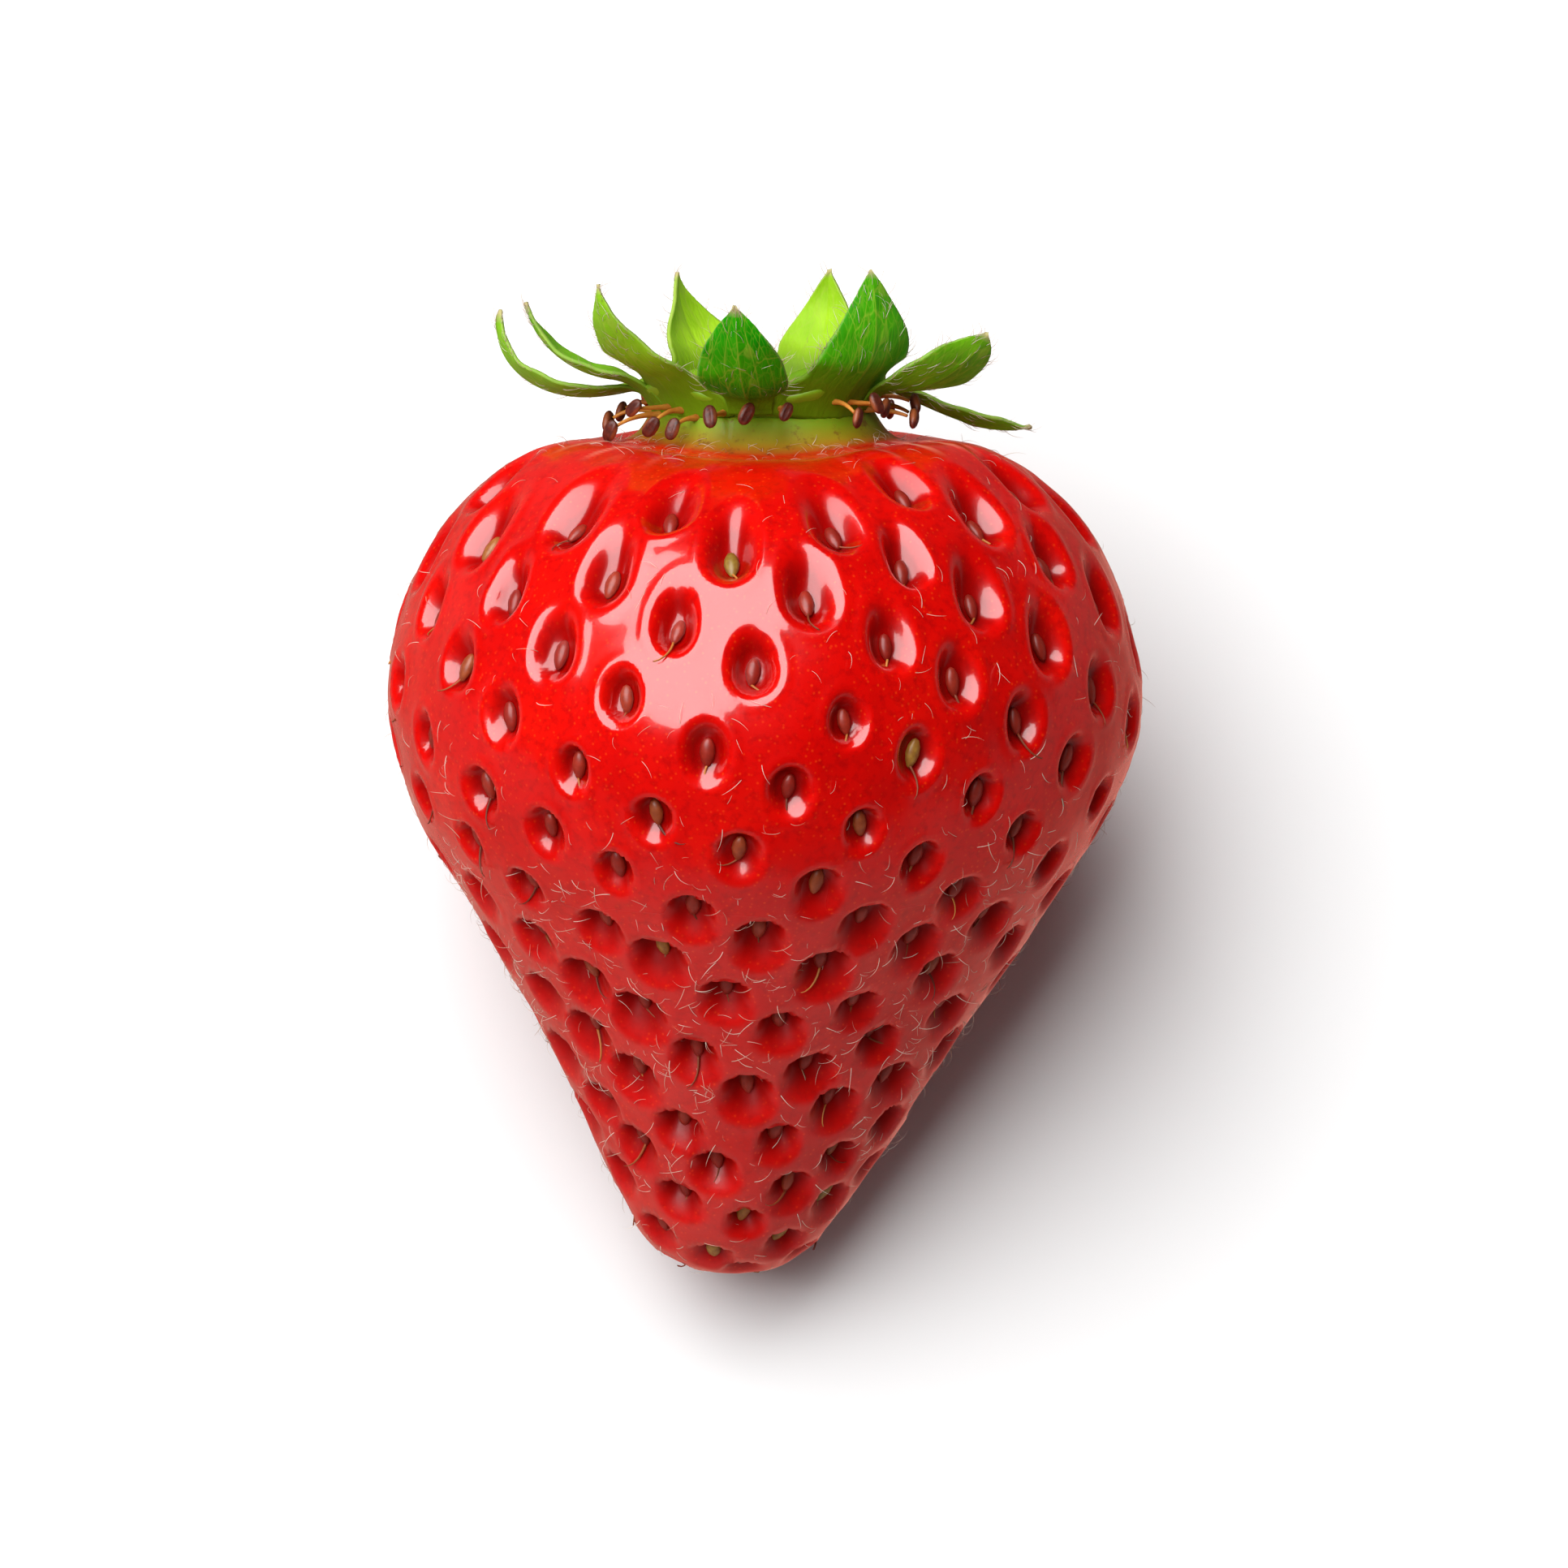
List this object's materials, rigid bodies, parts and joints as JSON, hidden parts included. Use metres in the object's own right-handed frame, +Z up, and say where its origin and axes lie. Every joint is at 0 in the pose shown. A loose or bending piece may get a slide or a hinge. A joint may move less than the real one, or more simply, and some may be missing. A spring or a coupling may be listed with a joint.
{
  "type": "strawberry",
  "caption": "Ripe conical red strawberry with its green calyx and dried stamens, lying on its flank on a small flat spot.",
  "frame": {"origin": "middle of the small flat spot of the flank that the berry lies on", "axes": "+Z up, away from the surface it lies on; +Y along the surface from the tip towards the calyx; +X to the berry's right, seen from above with the calyx at the top"},
  "size_m": [0.0418, 0.054, 0.0427],
  "materials": {
    "ripe_skin": null,
    "calyx_green": null,
    "cut_stalk": "pale green hairy stalk with a dried cut end",
    "dried_stamen": "dry orange-tan filament with a dark brown anther"
  },
  "bodies": {
    "root": {"fruit_body": "ripe_skin", "calyx_base": "calyx_green", "sepal_left": "calyx_green", "sepal_left_front": "calyx_green", "sepal_right_front": "calyx_green", "sepal_back_right": "calyx_green", "sepal_back_left": "calyx_green", "bractlet_left": "calyx_green", "bractlet_front": "calyx_green", "bractlet_right": "calyx_green", "bractlet_right_low": "calyx_green", "bractlet_back": "calyx_green", "stalk_stub": "cut_stalk", "stamen_01": "dried_stamen", "stamen_02": "dried_stamen", "stamen_03": "dried_stamen", "stamen_04": "dried_stamen", "stamen_05": "dried_stamen", "stamen_06": "dried_stamen", "stamen_07": "dried_stamen", "stamen_08": "dried_stamen", "stamen_09": "dried_stamen", "stamen_10": "dried_stamen", "stamen_11": "dried_stamen", "stamen_12": "dried_stamen", "stamen_13": "dried_stamen", "stamen_14": "dried_stamen", "stamen_15": "dried_stamen", "stamen_16": "dried_stamen", "stamen_17": "dried_stamen", "stamen_18": "dried_stamen", "stamen_19": "dried_stamen", "stamen_20": "dried_stamen", "stamen_21": "dried_stamen"}
  },
  "joints": []
}
